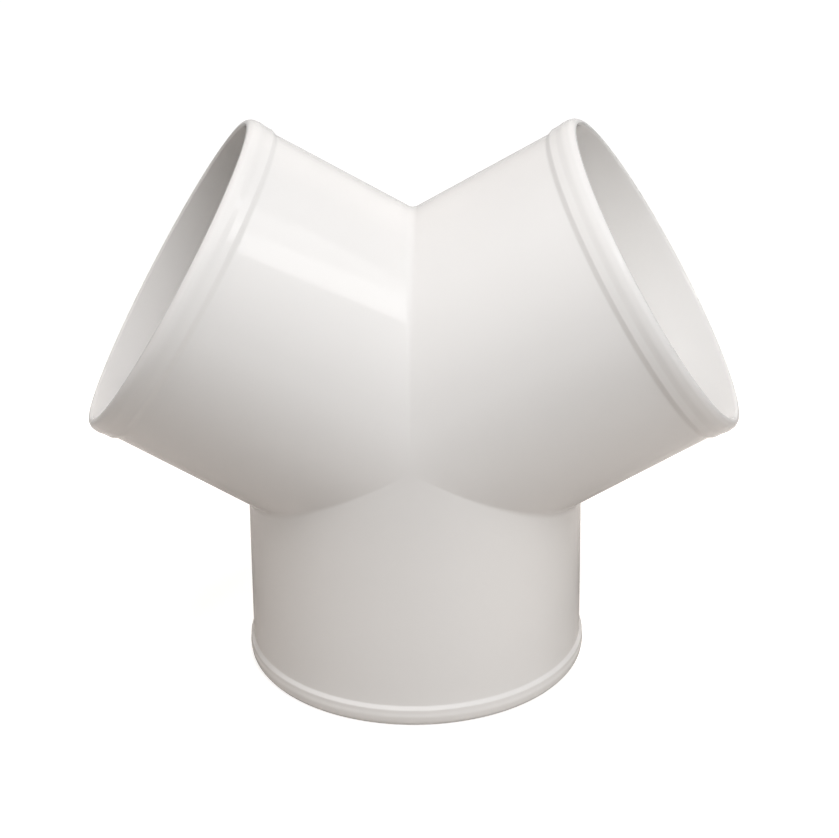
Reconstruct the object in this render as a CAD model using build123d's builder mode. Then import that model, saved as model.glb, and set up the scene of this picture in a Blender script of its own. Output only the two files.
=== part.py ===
from build123d import *
import math
import os

os.makedirs("parts", exist_ok=True)

# An equal three-way duct connector (a "wye"), moulded in one piece. The stem stands on its
# mouth at z = 0 on the z axis; the two arms leave the hub 120 degrees apart in the XZ plane.
# All sizes in millimetres, +Z up.

# ---- what the connector has to fit
duct_bore_d = 100.0        # inside diameter of the round ducting pushed over each mouth
slip_gap = 0.2             # clearance per side between a rim band and that ducting

# ---- diameters and wall
rim_step = 1.0             # how far a rim band stands out beyond the neck behind it
wall = 1.8                 # moulded wall of the necks
rim_d = duct_bore_d - 2 * slip_gap
neck_d = rim_d - 2 * rim_step
bore_d = neck_d - 2 * wall

# ---- lengths along each leg, counted from the hub centre or back from the mouth
leg_len = 80.7             # hub centre to mouth, the same on all three legs
leg_turn = 120.0           # angle from each leg to the next
band_len = 6.2             # full-height part of the rim band, crest to mouth
ramp_len = 1.7             # slope that lifts the band off the neck
core_overrun = 5.0         # the cores run past the mouths so that the bores open cleanly

# ---- edges
crotch_fillet = 3.0        # outside, where two necks meet
foot_round = 0.8           # hollow where the ramp leaves the neck
crest_round = 0.8          # top of the ramp
lip_bevel = 1.3            # 45 degree bevel on the outside of a mouth ...
lip_round = 1.6            # ... rolled into the band with this radius
bore_bevel = 0.6           # 45 degree lead-in on the inside of a mouth

# ---- derived
crest_s = leg_len - band_len
foot_s = crest_s - ramp_len

# The hub centre is the origin while the legs are drawn. The stem points straight down;
# the arms follow one turn to either side of it.
leg_turns = [180.0, 180.0 - leg_turn, 180.0 + leg_turn]


def leg_axis(turn):
    """Axis of the leg that leans `turn` degrees from +Z towards +X, from the hub outwards."""
    lean = math.radians(turn)
    return Axis((0, 0, 0), (math.sin(lean), 0, math.cos(lean)))


def leg_plane(turn):
    """Drawing plane of one leg: y runs out along the leg, x is the distance from its axis.

    It lies in the plane of all three axes, so the joint line of every turned face also
    lies there and meets the creases at the crotches, never at the front and back points
    of the hub, where the creases fade out.
    """
    lean = math.radians(turn)
    return Plane(origin=(0, 0, 0), x_dir=(math.cos(lean), 0, -math.sin(lean)), z_dir=(0, -1, 0))


# ---- outer skin: three turned legs run into one another at the hub, each with its rim band
with BuildPart() as skin:
    for turn in leg_turns:
        with BuildSketch(leg_plane(turn)) as leg_profile:
            with BuildLine():
                Polyline(
                    (0, 0),
                    (neck_d / 2, 0),
                    (neck_d / 2, foot_s),
                    (rim_d / 2, crest_s),
                    (rim_d / 2, leg_len - lip_bevel),
                    (rim_d / 2 - lip_bevel, leg_len),
                    (0, leg_len),
                    close=True,
                )
            make_face()
            foot = leg_profile.vertices().sort_by_distance((neck_d / 2, foot_s))[0]
            fillet(foot, radius=foot_round)
            crest = leg_profile.vertices().sort_by_distance((rim_d / 2, crest_s))[0]
            fillet(crest, radius=crest_round)
            lip = leg_profile.vertices().sort_by_distance((rim_d / 2, leg_len - lip_bevel))[0]
            fillet(lip, radius=lip_round)
        revolve(axis=leg_axis(turn))
    # Each pair of necks meets along half an ellipse. The crease is sharpest at the crotch and
    # dies away to nothing at the front and back of the hub, where all three run together.
    fillet(skin.edges().filter_by(GeomType.ELLIPSE), radius=crotch_fillet)

# ---- core: three turned cores meet on flat mitre faces, so the ridges inside stay crisp
with BuildPart() as core:
    for turn in leg_turns:
        with BuildSketch(leg_plane(turn)):
            with BuildLine():
                Polyline(
                    (0, 0),
                    (bore_d / 2, 0),
                    (bore_d / 2, leg_len - bore_bevel),
                    (bore_d / 2 + bore_bevel + core_overrun, leg_len + core_overrun),
                    (0, leg_len + core_overrun),
                    close=True,
                )
            make_face()
        revolve(axis=leg_axis(turn))

# ---- the connector: skin less core, stood on the mouth of its stem
with BuildPart() as wye:
    with Locations((0, 0, leg_len)):
        add(skin.part)
        add(core.part, mode=Mode.SUBTRACT)

wye.part.label = "wye_body"
export_step(wye.part, "parts/wye_body.step")

size = wye.part.bounding_box().size
print(f"wye_body: {size.X:.2f} x {size.Y:.2f} x {size.Z:.2f} mm, "
      f"{wye.part.volume:.0f} mm3, {len(wye.faces())} faces")
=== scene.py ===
# %% [markdown]
# # A duct wye fitting, moulded in gloss white
#
# The piece joins three round ducts. Three short sleeves of one size leave a
# hub at 120 degrees to each other, and each ends in a raised band that the
# duct slides over. The real one is a single injection moulding in white ABS,
# so this lesson makes one mesh, one finish and a small studio.
#
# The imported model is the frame: it says where the piece stands and how large
# it is. Nothing here moves or resizes it.

# %% Load the frame
import math

import bmesh
import bpy
from mathutils import Matrix, Vector


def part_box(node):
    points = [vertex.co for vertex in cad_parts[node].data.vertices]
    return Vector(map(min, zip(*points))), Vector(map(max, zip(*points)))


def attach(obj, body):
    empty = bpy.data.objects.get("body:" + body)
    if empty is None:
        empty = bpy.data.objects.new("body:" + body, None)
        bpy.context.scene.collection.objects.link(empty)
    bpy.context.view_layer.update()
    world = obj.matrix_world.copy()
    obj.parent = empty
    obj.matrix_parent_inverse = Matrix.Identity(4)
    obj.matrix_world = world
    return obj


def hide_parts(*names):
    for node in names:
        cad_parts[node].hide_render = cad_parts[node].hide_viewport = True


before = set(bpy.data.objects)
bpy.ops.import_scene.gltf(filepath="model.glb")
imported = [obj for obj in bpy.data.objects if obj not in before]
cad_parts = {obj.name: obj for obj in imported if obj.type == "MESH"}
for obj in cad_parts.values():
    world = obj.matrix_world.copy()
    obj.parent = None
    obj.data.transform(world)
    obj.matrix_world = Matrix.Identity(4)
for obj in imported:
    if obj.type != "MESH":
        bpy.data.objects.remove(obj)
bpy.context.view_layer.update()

mm = 0.001


def in_mm(values, digits=2):
    return [round(value / mm, digits) for value in values]


# %% [markdown]
# ## Sizes
#
# A wye is drawn from very few numbers, and each is kept once, in metres. The
# neck is the plain part of a sleeve, the rim is the band that the duct grips,
# and the bore is the hole. The leg is measured from the hub's middle to the
# mouth. The frame's box gives one size back as a check: the piece is as deep
# as its rim is wide. The band that stands on the floor is shorter and crisper
# than the other two, so its own sizes come last, named "Stem".
#
# The small sizes are the band's form. It rises from the neck in a soft step,
# overshoots a little at its crest, is hollow by tenths of a millimetre where
# the plastic shrank, and rolls over at the lip. A gloss white thing shows its
# form by such small turns of the surface, more than by its outline.

# %% Sizes of the fitting
sizes = {
    "Neck Radius": 48.8 * mm,
    "Rim Radius": 49.8 * mm,
    "Bore Radius": 47.0 * mm,
    "Leg Length": 80.7 * mm,
    "Band Length": 7.5 * mm,
    "Step Length": 1.6 * mm,
    "Foot Round": 2.0 * mm,
    "Crest Round": 1.4 * mm,
    "Crest Drop": 0.3 * mm,
    "Band Hollow": 0.27 * mm,
    "Lip Length": 3.3 * mm,
    "Lip Drop": 1.35 * mm,
    "Lip Round": 1.1 * mm,
    "Bore Bevel": 0.55 * mm,
    "Crotch Round": 3.0 * mm,
    "Ridge Round": 0.35 * mm,
    "Stem Band Length": 5.4 * mm,
    "Stem Step Length": 1.05 * mm,
    "Stem Foot Round": 0.8 * mm,
    "Stem Crest Round": 0.7 * mm,
    "Stem Crest Drop": 0.16 * mm,
    "Stem Band Hollow": 0.17 * mm,
}
low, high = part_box("wye_body")
print("rim across and box depth in mm", in_mm([2 * sizes["Rim Radius"], high.y - low.y]))

# %% [markdown]
# ## Formulas as nodes
#
# The whole body follows a rule, so Geometry Nodes make it, and a buyer who
# needs another duct changes one number. Node trees made in a script are long
# to read when every sum is three lines. A small class lets a formula be
# written as one: each sign adds its Math node and its links.

# %% Helpers for node trees
def plug(tree, value, socket):
    """Links a socket, or sets a plain value."""
    value = getattr(value, "socket", value)
    if isinstance(value, bpy.types.NodeSocket):
        tree.links.new(value, socket)
    else:
        socket.default_value = value


def node(tree, kind, inputs=None, **settings):
    """Adds a node with its settings, then fills its inputs by name or number."""
    made = tree.nodes.new(kind)
    for name, value in settings.items():
        setattr(made, name, value)
    for name, value in (inputs or {}).items():
        plug(tree, value, made.inputs[name])
    return made


class Number:
    """A number that flows through a node tree."""

    def __init__(self, tree, socket):
        self.tree, self.socket = tree, socket

    def math(self, operation, *others):
        made = node(self.tree, "ShaderNodeMath", operation=operation)
        for value, socket in zip((self, *others), made.inputs):
            plug(self.tree, value, socket)
        return Number(self.tree, made.outputs[0])

    def __add__(self, other):
        return self.math("ADD", other)

    def __sub__(self, other):
        return self.math("SUBTRACT", other)

    def __mul__(self, other):
        return self.math("MULTIPLY", other)

    def __truediv__(self, other):
        return self.math("DIVIDE", other)

    def clamped(self):
        return self.math("MINIMUM", 1.0).math("MAXIMUM", 0.0)


def vector(tree, x, y, z):
    return node(tree, "ShaderNodeCombineXYZ", {0: x, 1: y, 2: z}).outputs[0]


def vector_math(tree, operation, *values, scale=None):
    made = node(tree, "ShaderNodeVectorMath", operation=operation)
    for value, socket in zip(values, made.inputs):
        plug(tree, value, socket)
    if scale is not None:
        plug(tree, scale, made.inputs["Scale"])
    return made.outputs[0]


# %% More helpers
# The Mix node keeps one set of sockets for each kind of value.
MIX_SOCKETS = {"VECTOR": (4, 5, 1), "RGBA": (6, 7, 2)}


def mix(tree, kind, factor, first, second):
    a, b, result = MIX_SOCKETS[kind]
    made = node(tree, "ShaderNodeMix", {"Factor": factor, a: first, b: second}, data_type=kind)
    return made.outputs[result]


def split(tree, spot):
    """The three numbers of a vector."""
    made = node(tree, "ShaderNodeSeparateXYZ", {0: spot})
    return [Number(tree, socket) for socket in made.outputs]


def grid_turn_and_row(tree):
    """Where a point of a one by one grid lies: the turn as an angle, the row from 0 to 1."""
    x, y, _ = split(tree, node(tree, "GeometryNodeInputPosition").outputs[0])
    return (x + 0.5) * (2 * math.pi), y + 0.5


def new_tree(name, numbers, counts=(), others=()):
    """A geometry tree with named inputs; returns it with its inputs as a dict."""
    tree = bpy.data.node_groups.new(name, "GeometryNodeTree")
    for label, kind in others:
        tree.interface.new_socket(label, in_out="INPUT", socket_type=kind)
    for label in numbers:
        tree.interface.new_socket(label, in_out="INPUT", socket_type="NodeSocketFloat")
    for label in counts:
        tree.interface.new_socket(label, in_out="INPUT", socket_type="NodeSocketInt")
    tree.interface.new_socket("Geometry", in_out="OUTPUT", socket_type="NodeSocketGeometry")
    entry = tree.nodes.new("NodeGroupInput")
    given = {s.name: Number(tree, s) for s in entry.outputs if s.name}
    return tree, given


def finish_tree(tree, geometry):
    leave = tree.nodes.new("NodeGroupOutput")
    plug(tree, geometry, leave.inputs[0])
    print(tree.name, "has", len(tree.nodes), "nodes")


print("helpers ready; a Mix node is wired for", sorted(MIX_SOCKETS))

# %% [markdown]
# ## A sleeve cut on the mitre, with its corner rolled
#
# Where two round sleeves of one radius meet at 120 degrees, the seam lies in
# the plane half-way between them. A ball of the corner's radius that rolls
# along that seam touches each sleeve on a line, and the corner is the skin
# between the two lines. In the sleeve's own axes (x across, z along, y
# through the piece), for a point at the turn t round the sleeve:
#
# - the ball's middle is at (r + b) from both axes, at the height
#   (r + b) |cos t| / sqrt 3;
# - the skin is that point less b times a direction that swings from the
#   sleeve's own radial one, (cos t, sin t, 0), to the one in the mitre plane,
#   (3/4 cos t, sin t, sqrt 3 / 4 |cos t|), each made one long.
#
# Three tubes joined by booleans and bevelled would have this form too, but a
# bevel along a seam of changing angle leaves long uneven faces, and gloss
# shows each of them. The same rule gives the rolled crotch outside and the
# fine ridge inside, so it is a group of its own. A plain grid becomes the
# sleeve: one way round the axis, the other way along it, with its rows close
# together near the corner so that reflections keep straight when they leave it.

# %% The sleeve group
ARC_ROWS = 9
RUN_ROWS = 7
ROOT_3 = math.sqrt(3)


def make_sleeve_tree():
    numbers = ["Radius", "Corner Round", "End Height"]
    tree, g = new_tree("sleeve_cut_on_the_mitre", numbers, ["Columns"])
    rows = ARC_ROWS + RUN_ROWS
    grid = node(tree, "GeometryNodeMeshGrid", {
        "Size X": 1.0, "Size Y": 1.0,
        "Vertices X": g["Columns"] + 1,
        "Vertices Y": rows + 1,
    })
    turn, along = grid_turn_and_row(tree)
    row = along * float(rows)
    swing = (row / float(-ARC_ROWS) + 1.0).clamped()
    run = ((row - float(ARC_ROWS)) / float(RUN_ROWS)).clamped().math("POWER", 2.0)

    across, through = turn.math("COSINE"), turn.math("SINE")
    lean = across.math("ABSOLUTE")
    reach = g["Radius"] + g["Corner Round"]
    ball = vector(tree, across * reach, through * reach, lean * reach / ROOT_3)
    radial = vector(tree, across, through, 0.0)
    mitred = vector(tree, across * 0.75, through, lean * (ROOT_3 / 4))
    mitred = vector_math(tree, "NORMALIZE", mitred)
    facing = vector_math(tree, "NORMALIZE", mix(tree, "VECTOR", swing, radial, mitred))
    inward = vector_math(tree, "SCALE", facing, scale=g["Corner Round"])
    x, y, corner_height = split(tree, vector_math(tree, "SUBTRACT", ball, inward))
    height = corner_height + (g["End Height"] - corner_height) * run
    moved = node(tree, "GeometryNodeSetPosition", {
        "Geometry": grid.outputs[0],
        "Position": vector(tree, x, y, height),
    })
    finish_tree(tree, moved.outputs[0])
    return tree


sleeve_tree = make_sleeve_tree()

# %% [markdown]
# ## The band and the lip
#
# Past the corner a sleeve is plain turning work: neck, a soft step up to the
# band, the band, the rolled lip, and back down the bore. Its section is a
# line of corners, each with its distance from the axis, its height and its
# rounding. Corners with no rounding are only there to hold the long straight
# runs straight, so that their gloss doesn't bend near an edge.

# %% The section's corners
HUB_SIZES = ("Crotch Round", "Ridge Round")
TURNED_SIZES = [name for name in sizes if "Stem" not in name and name not in HUB_SIZES]
HOLD = 0.8 * mm
HOLLOW_ROUND, SWELL_ROUND, SHOULDER_ROUND = 6 * mm, 5 * mm, 2 * mm
MOUTH_ROUND, BEVEL_ROUND = 0.25 * mm, 0.6 * mm
SHOULDER_DROP, SHOULDER_BACK = 0.24, 0.38
BEVEL_SLANT = 1.1


def section_corners(g):
    """(distance from the axis, height, rounding) from the neck, over the lip, to the bore."""
    mouth = g["Leg Length"]
    crest = mouth - g["Band Length"]
    foot = crest - g["Step Length"]
    lip = mouth - g["Lip Length"]
    rim, neck, bore = g["Rim Radius"], g["Neck Radius"], g["Bore Radius"]
    bevel = mouth - g["Bore Bevel"] * BEVEL_SLANT
    shoulder = rim - g["Lip Drop"] * SHOULDER_DROP
    return [
        (neck, g["Start Height"], 0.0),
        (neck, foot - HOLD, 0.0),
        (neck, foot, g["Foot Round"]),
        (rim - g["Crest Drop"], crest, g["Crest Round"]),
        (rim - g["Band Hollow"], (crest + lip) / 2.0, HOLLOW_ROUND),
        (rim, lip, SWELL_ROUND),
        (shoulder, mouth - g["Lip Length"] * SHOULDER_BACK, SHOULDER_ROUND),
        (rim - g["Lip Drop"], mouth, g["Lip Round"]),
        (bore + g["Bore Bevel"], mouth, MOUTH_ROUND),
        (bore, bevel, BEVEL_ROUND),
        (bore, bevel - HOLD, 0.0),
        (bore, g["Start Height"], 0.0),
    ]


print("the section takes", len(TURNED_SIZES), "sizes")

# %% [markdown]
# ## The section, turned round its axis
#
# Index Switch gives each point of a plain line its corner, and Fillet Curve
# rounds them. A grid then takes one row from each point of the section and
# turns it round the axis, as a lathe turns a profile.

# %% The band group
FILLET_STEPS = 7


def make_band_tree():
    tree, g = new_tree("band_and_lip", [*TURNED_SIZES, "Start Height"], ["Columns"])
    corners = section_corners(g)
    index = node(tree, "GeometryNodeInputIndex").outputs[0]
    spots = node(tree, "GeometryNodeIndexSwitch", data_type="VECTOR")
    rounds = node(tree, "GeometryNodeIndexSwitch", data_type="FLOAT")
    for switch in (spots, rounds):
        while len(switch.index_switch_items) < len(corners):
            switch.index_switch_items.new()
        plug(tree, index, switch.inputs[0])
    for number, (across, height, rounding) in enumerate(corners):
        plug(tree, vector(tree, across, 0.0, height), spots.inputs[number + 1])
        plug(tree, rounding, rounds.inputs[number + 1])
    line = node(tree, "GeometryNodeMeshLine", {"Count": len(corners)})
    line = node(tree, "GeometryNodeSetPosition", {
        "Geometry": line.outputs[0],
        "Position": spots.outputs[0],
    })
    line = node(tree, "GeometryNodeMeshToCurve", {0: line.outputs[0]})
    section = node(tree, "GeometryNodeFilletCurve", {
        "Curve": line.outputs[0],
        "Count": FILLET_STEPS,
        "Radius": rounds.outputs[0],
        "Limit Radius": True,
    }, mode="POLY").outputs[0]
    size = node(tree, "GeometryNodeAttributeDomainSize", {0: section}, component="CURVE")
    points = Number(tree, size.outputs["Point Count"])

    grid = node(tree, "GeometryNodeMeshGrid", {
        "Size X": 1.0, "Size Y": 1.0,
        "Vertices X": g["Columns"] + 1,
        "Vertices Y": points,
    })
    turn, along = grid_turn_and_row(tree)
    spot = node(tree, "GeometryNodeSampleIndex", {
        "Geometry": section,
        "Value": node(tree, "GeometryNodeInputPosition").outputs[0],
        "Index": (along * (points - 1.0)).math("ROUND"),
    }, data_type="FLOAT_VECTOR", domain="POINT")
    out, _, height = split(tree, spot.outputs[0])
    moved = node(tree, "GeometryNodeSetPosition", {
        "Geometry": grid.outputs[0],
        "Position": vector(tree, turn.math("COSINE") * out, turn.math("SINE") * out, height),
    })
    finish_tree(tree, moved.outputs[0])
    return tree


band_tree = make_band_tree()

# %% [markdown]
# ## Three legs round the hub
#
# One leg is the outer sleeve, the band and the inner sleeve. The legs repeat,
# so a leg is placed three times, turned by a third about the axis that runs
# through the piece, and lifted until the lowest mouth stands on the floor.
# Two kinds of leg differ only in the band, and Pick Instance gives the stem
# its own. Merging by distance then welds the seams, because neighbours end on
# the same points of the mitre plane, and the skin closes.

# %% One leg of each kind
START_PAST_CORNER = 2 * mm


def join(tree, pieces):
    made = node(tree, "GeometryNodeJoinGeometry")
    for piece in pieces:
        tree.links.new(piece, made.inputs[0])
    return made.outputs[0]


def leg_kinds(tree, g):
    """The two kinds of leg as instances, the stem's kind linked first."""
    start = (g["Neck Radius"] + g["Crotch Round"]) / ROOT_3 + START_PAST_CORNER

    def group(of, given):
        given = {**given, "Columns": g["Columns"]}
        return node(tree, "GeometryNodeGroup", given, node_tree=of).outputs[0]

    outer, inner = (
        group(sleeve_tree, {"Radius": g[radius], "Corner Round": g[corner], "End Height": start})
        for radius, corner in (("Neck Radius", "Crotch Round"), ("Bore Radius", "Ridge Round"))
    )
    bare = join(tree, [outer, node(tree, "GeometryNodeFlipFaces", {0: inner}).outputs[0]])
    kinds = []
    for kind in ("Stem ", ""):
        own = {name: g.get(kind + name, g[name]) for name in TURNED_SIZES}
        leg = join(tree, [group(band_tree, {**own, "Start Height": start}), bare])
        kinds.append(node(tree, "GeometryNodeGeometryToInstance", {0: leg}).outputs[0])
    return join(tree, kinds)


print("the stem has", sum("Stem" in name for name in sizes), "sizes of its own")

# %% The fitting's tree
STEM = 1
WELD = 0.001 * mm


def make_fitting_tree():
    finish = [("Finish", "NodeSocketMaterial")]
    tree, g = new_tree("duct_wye", list(sizes), ["Columns", "Legs"], finish)
    hub = node(tree, "GeometryNodeMeshLine", {
        "Count": g["Legs"],
        "Start Location": vector(tree, 0.0, 0.0, g["Leg Length"]),
        "Offset": (0.0, 0.0, 0.0),
    })
    index = Number(tree, node(tree, "GeometryNodeInputIndex").outputs[0])
    is_stem = node(tree, "FunctionNodeCompare", {
        2: index, 3: STEM,
    }, data_type="INT", operation="EQUAL")
    legs = node(tree, "GeometryNodeInstanceOnPoints", {
        "Points": hub.outputs[0],
        "Instance": leg_kinds(tree, g),
        "Pick Instance": True,
        "Instance Index": is_stem.outputs[0],
        "Rotation": vector(tree, 0.0, (index + 0.5) * (2 * math.pi) / g["Legs"], 0.0),
    })
    real = node(tree, "GeometryNodeRealizeInstances", {0: legs.outputs[0]})
    welded = node(tree, "GeometryNodeMergeByDistance", {0: real.outputs[0], "Distance": WELD})
    smooth = node(tree, "GeometryNodeSetShadeSmooth", {0: welded.outputs[0], "Shade Smooth": True})
    dressed = node(tree, "GeometryNodeSetMaterial", {0: smooth.outputs[0], "Material": g["Finish"]})
    finish_tree(tree, dressed.outputs[0])
    return tree


fitting_tree = make_fitting_tree()

# %% [markdown]
# ## The finish: gloss white ABS
#
# Polished moulding steel leaves white ABS almost as smooth as glazed china. It
# is a touch warm, and deeper in a mouth the light turns warmer still by itself,
# because it has bounced from wall to wall. Principled has the clear skin over
# the white in one shader, with the right gain in gloss at a grazing angle, so
# no second layer is mixed in. Three things keep it from looking like paint:
# the walls sink by hundredths of a millimetre as they cool, which bends a long
# reflection slightly; handling leaves the gloss a little uneven; and the
# resin's colour isn't perfectly even.

# %% Make the gloss white
WHITES = (0.921, 0.906, 0.888, 1.0), (0.933, 0.920, 0.904, 1.0)
ROUGHNESS = 0.04, 0.07
PLASTIC_IOR = 1.52
SINK_DEPTH = 0.12 * mm
CLOUD_SCALE, HANDLING_SCALE, SINK_SCALE = 22.0, 65.0, 28.0


def make_gloss_white():
    material = bpy.data.materials.new("gloss_white_abs")
    material.use_nodes = True
    tree = material.node_tree
    shader = tree.nodes["Principled BSDF"]
    shader.inputs["IOR"].default_value = PLASTIC_IOR
    shader.inputs["Metallic"].default_value = 0.0
    place = node(tree, "ShaderNodeTexCoord").outputs["Object"]

    def noise(scale, detail, roughness):
        wanted = {"Vector": place, "Scale": scale, "Detail": detail, "Roughness": roughness}
        return node(tree, "ShaderNodeTexNoise", wanted).outputs["Fac"]

    tone = mix(tree, "RGBA", noise(CLOUD_SCALE, detail=2.0, roughness=0.5), *WHITES)
    tree.links.new(tone, shader.inputs["Base Color"])

    gloss = node(tree, "ShaderNodeMapRange", {
        "Value": noise(HANDLING_SCALE, detail=4.0, roughness=0.6),
        "From Min": 0.3, "From Max": 0.7,
        "To Min": ROUGHNESS[0], "To Max": ROUGHNESS[1],
    })
    tree.links.new(gloss.outputs[0], shader.inputs["Roughness"])

    relief = node(tree, "ShaderNodeBump", {
        "Strength": 1.0,
        "Distance": SINK_DEPTH,
        "Height": noise(SINK_SCALE, detail=1.0, roughness=0.4),
    })
    tree.links.new(relief.outputs[0], shader.inputs["Normal"])
    print(material.name, "has", len(tree.nodes), "nodes")
    return material


gloss_white = make_gloss_white()

# %% [markdown]
# ## Make the body and let it stand for the plain one
#
# The tree's inputs are set by their identifiers, the result is taken as a
# plain mesh, and the helper object goes. A closed skin has no open edge, and
# its volume says whether its faces look outwards.

# %% Make the body
COLUMNS = 192


def fitting_mesh():
    host = bpy.data.objects.new("host", bpy.data.meshes.new("host"))
    bpy.context.scene.collection.objects.link(host)
    modifier = host.modifiers.new("duct_wye", "NODES")
    modifier.node_group = fitting_tree
    wanted = {**sizes, "Columns": COLUMNS, "Legs": 3, "Finish": gloss_white}
    for item in fitting_tree.interface.items_tree:
        if item.in_out == "INPUT":
            modifier[item.identifier] = wanted[item.name]
    view = bpy.context.evaluated_depsgraph_get()
    mesh = bpy.data.meshes.new_from_object(host.evaluated_get(view), depsgraph=view)
    bpy.data.objects.remove(host)
    return mesh


body = bpy.data.objects.new("wye_fitting", fitting_mesh())
bpy.context.scene.collection.objects.link(body)
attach(body, "root")
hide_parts("wye_body")
print(body.name, "rides on root and stands for wye_body")

# %% Look the mesh over
CUBIC_CM = 1e-6
THIN_FACE = (0.001 * mm) ** 2

look = bmesh.new()
look.from_mesh(body.data)
open_edges = sum(not edge.is_manifold for edge in look.edges)
thin_faces = sum(face.calc_area() < THIN_FACE for face in look.faces)
volume = look.calc_volume(signed=True) / CUBIC_CM
print(len(look.faces), "faces,", open_edges, "open edges,", thin_faces, "thin faces")
print("volume of the skin", round(volume, 2), "cm3")
look.free()

# %% [markdown]
# ## The floor
#
# A white thing on white paper asks two things of the floor. To the camera it
# is plain white. To the fitting it is the light from below. So a pool of lamp
# light is painted into the paper's tone in rings round the foot: brighter in
# the pool, with a painted darker ring of shade just round the foot, and darker
# further out. Two glows are added, and neither adds to the soft light. One is
# for camera rays: it brings the paper up to white and leaves a thin line of
# shadow at the foot. The other, weaker one is for glossy rays, because the top
# edge of each arm mirrors the far floor at a grazing angle.

# %% Make the floor
FLOOR_HALF = 6.0
RING_REACH = 0.6
# Painted light: each ring is a distance from the foot and a grey that paints the pool of lamp
# light, and a darker ring of shade near the foot, into the paper's colour.
PAINTED_LIGHT_RINGS = [
    (0.052, 0.50), (0.07, 0.36), (0.10, 0.54), (0.14, 0.67),
    (0.21, 0.34), (0.38, 0.14), (0.58, 0.04),
]
WARMTH = (1.07, 1.0, 0.94)
NEAR_GLOW, FAR_GLOW, MIRRORED_GLOW = 0.75, 1.0, 0.5


def make_paper_with_painted_pool():
    material = bpy.data.materials.new("white_paper")
    material.use_nodes = True
    tree = material.node_tree
    shader = tree.nodes["Principled BSDF"]
    shader.inputs["Roughness"].default_value = 0.9
    shader.inputs["Specular IOR Level"].default_value = 0.0
    shader.inputs["Emission Color"].default_value = (1, 1, 1, 1)

    place = node(tree, "ShaderNodeTexCoord").outputs["Object"]
    far = node(tree, "ShaderNodeVectorMath", {0: place}, operation="LENGTH").outputs["Value"]
    part = (Number(tree, far) / RING_REACH).clamped()
    # The ramp paints the pool of lamp light and the shade near the foot into the paper's base
    # colour.
    painted_pool = node(tree, "ShaderNodeValToRGB", {0: part})
    while len(painted_pool.color_ramp.elements) < len(PAINTED_LIGHT_RINGS):
        painted_pool.color_ramp.elements.new(0.5)
    for stop, (radius, grey) in zip(painted_pool.color_ramp.elements, PAINTED_LIGHT_RINGS):
        stop.position = radius / RING_REACH
        stop.color = (*(grey * tint for tint in WARMTH), 1)
    tree.links.new(painted_pool.outputs[0], shader.inputs["Base Color"])

    path = node(tree, "ShaderNodeLightPath")
    lift = Number(tree, path.outputs["Is Camera Ray"]) * (part * (FAR_GLOW - NEAR_GLOW) + NEAR_GLOW)
    gleam = Number(tree, path.outputs["Is Glossy Ray"]) * part * MIRRORED_GLOW
    tree.links.new((lift + gleam).socket, shader.inputs["Emission Strength"])
    return material


floor_mesh = bpy.data.meshes.new("floor")
signs = (-1, -1), (1, -1), (1, 1), (-1, 1)
floor_corners = [(x * FLOOR_HALF, y * FLOOR_HALF, 0) for x, y in signs]
floor_mesh.from_pydata(floor_corners, [], [(0, 1, 2, 3)])
floor_mesh.materials.append(make_paper_with_painted_pool())
floor = bpy.data.objects.new("floor", floor_mesh)
bpy.context.scene.collection.objects.link(floor)
print("floor is", 2 * FLOOR_HALF, "m wide, with", len(PAINTED_LIGHT_RINGS), "rings of tone")

# %% [markdown]
# ## The lamps
#
# White plastic shows its form by soft changes of tone, so the light comes
# from many large, weak softboxes on all sides, each a little warm or cool.
# A real studio hides most of them from the gloss behind a diffusion tent;
# here they are simply left out of reflections. What the gloss does show is
# one long strip lamp at the front right, with a fainter veil above it. Its
# image is the bright band along one arm, crisp below and fading upwards.

# %% Softboxes
HUB = Vector((0.0, 0.0, 0.08))
NEUTRAL = (1.0, 1.0, 1.0)


def away_from_hub(turn, rise):
    """The direction outwards; turn 0 is in front, a quarter turn is to the right."""
    level = math.cos(rise)
    return Vector((math.sin(turn) * level, -math.cos(turn) * level, math.sin(rise)))


def softbox(name, turn, rise, away, size, watts, colour=NEUTRAL, shift=(0, 0), mirrored=False):
    """A flat lamp that faces the hub, shifted sideways and up in its own plane."""
    turn = math.radians(turn)
    back = away_from_hub(turn, math.radians(rise))
    side = Vector((math.cos(turn), math.sin(turn), 0))
    lamp = bpy.data.lights.new(name, "AREA")
    lamp.shape, lamp.size, lamp.size_y = "RECTANGLE", size[0], size[1]
    lamp.energy, lamp.color = watts, colour
    made = bpy.data.objects.new(name, lamp)
    made.location = HUB + back * away + side * shift[0] + back.cross(side) * shift[1]
    made.rotation_mode = "QUATERNION"
    made.rotation_quaternion = back.to_track_quat("Z", "Y")
    made.visible_glossy = mirrored
    made.visible_camera = False
    bpy.context.scene.collection.objects.link(made)
    print(name, "at", [round(x, 2) for x in made.location])


# Name, turn, rise, metres from the hub, size in metres, watts, colour.
softbox("key", 25, 62, 1.2, (0.6, 0.6), 4.4)
softbox("front", 22, 48, 1.0, (0.6, 0.6), 2.45)
softbox("low", 30, 5, 1.2, (0.9, 0.9), 3.35)
softbox("top", 0, 85, 1.6, (0.9, 0.9), 4.2, (0.96, 0.96, 1.0))
softbox("left", -80, 42, 1.6, (0.9, 1.2), 8.5, (1.0, 0.96, 0.93))
softbox("right", 85, 15, 1.6, (0.9, 0.9), 1.7, (1.0, 0.96, 0.94))
softbox("rear", 180, 25, 1.6, (0.9, 0.9), 9.7, (1.0, 0.92, 0.86))
softbox("back", 160, 5, 1.6, (0.9, 0.9), 15.2)
softbox("strip", 65, 49, 1.6, (1.22, 0.18), 0.78, shift=(-0.11, -0.03), mirrored=True)
softbox("veil", 65, 49, 1.65, (1.26, 0.37), 1.30, shift=(-0.11, 0.066), mirrored=True)

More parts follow.
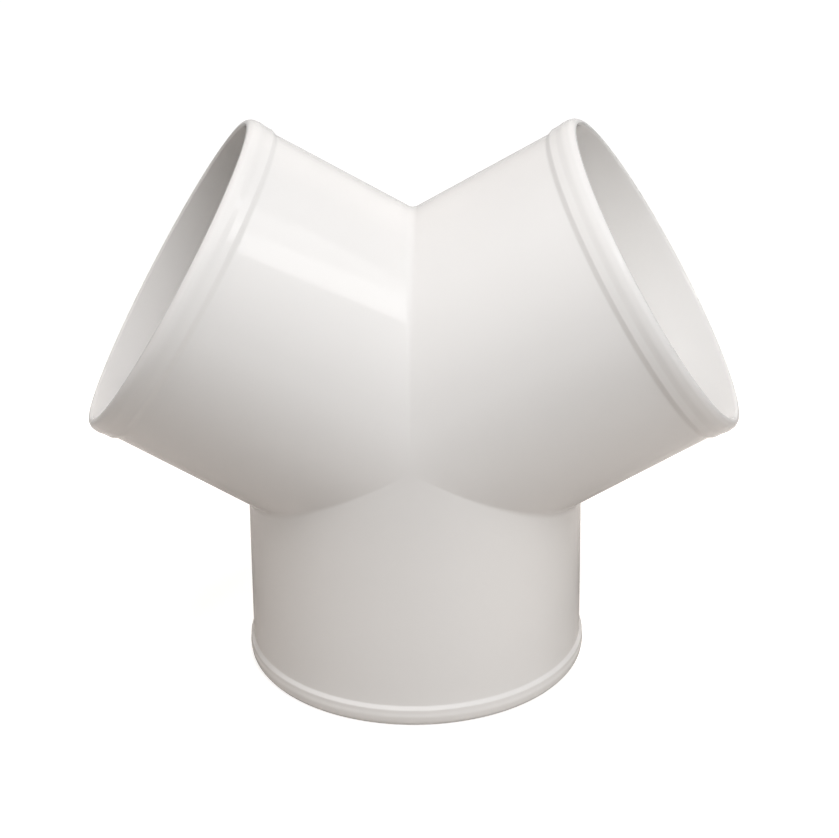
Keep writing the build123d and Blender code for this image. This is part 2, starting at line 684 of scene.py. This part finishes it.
# %% [markdown]
# ## The surroundings
#
# The camera sees plain white. The gloss sees a dim room with a paler wall
# behind the piece: that wall is what draws a light edge along the arms, where
# the skin is seen at a grazing angle. The room itself gives almost no light.

# %% Make the surroundings
ROOM_LIGHT = 0.02
ROOM_IN_GLOSS, WALL_IN_GLOSS = 0.12, 0.5
WALL_EDGE = 0.5, 0.95


def make_world():
    world = bpy.data.worlds.new("studio")
    world.use_nodes = True
    tree = world.node_tree
    plain = tree.nodes["Background"]
    plain.inputs["Color"].default_value = (1, 1, 1, 1)
    path = node(tree, "ShaderNodeLightPath")
    seen = Number(tree, path.outputs["Is Camera Ray"]) * (1.0 - ROOM_LIGHT) + ROOM_LIGHT
    _, backwards, _ = split(tree, node(tree, "ShaderNodeTexCoord").outputs["Generated"])
    behind = node(tree, "ShaderNodeMapRange", {
        "Value": backwards,
        "From Min": WALL_EDGE[0], "From Max": WALL_EDGE[1],
        "To Min": ROOM_IN_GLOSS, "To Max": WALL_IN_GLOSS,
    }, interpolation_type="SMOOTHSTEP")
    mirrored = Number(tree, path.outputs["Is Glossy Ray"]) * behind.outputs[0]
    tree.links.new((mirrored + seen).socket, plain.inputs["Strength"])
    print(world.name, "has", len(tree.nodes), "nodes")
    return world


bpy.context.scene.world = make_world()

# %% [markdown]
# ## The camera
#
# A long lens from just under a metre keeps the three mouths true in shape. It
# looks down by 25 degrees, far enough to see into both arms, and stands a
# touch to the right. A hand-set tripod is never quite level: it leans by half
# a degree.

# %% Place the camera
CAMERA_TURN, CAMERA_RISE, CAMERA_ROLL = (math.radians(x) for x in (1.385, 25.383, -0.637))
CAMERA_AIM = Vector((0.001563, 0.0, 0.07435))
CAMERA_AWAY = 0.887
LENS_MM, SENSOR_MM = 130.71, 36.0

back = away_from_hub(CAMERA_TURN, CAMERA_RISE)
right = (-back).cross(Vector((0, 0, 1))).normalized()
up = right.cross(-back)
x_axis = right * math.cos(CAMERA_ROLL) + up * math.sin(CAMERA_ROLL)
y_axis = up * math.cos(CAMERA_ROLL) - right * math.sin(CAMERA_ROLL)
turned = Matrix((x_axis, y_axis, back)).transposed().to_4x4()

lens = bpy.data.cameras.new("camera")
lens.lens, lens.sensor_width = LENS_MM, SENSOR_MM
camera = bpy.data.objects.new("camera", lens)
camera.matrix_world = Matrix.Translation(CAMERA_AIM + back * CAMERA_AWAY) @ turned
bpy.context.scene.collection.objects.link(camera)
bpy.context.scene.camera = camera
bpy.context.scene.view_settings.view_transform = "Standard"
print("camera at", [round(x, 3) for x in camera.matrix_world.translation])
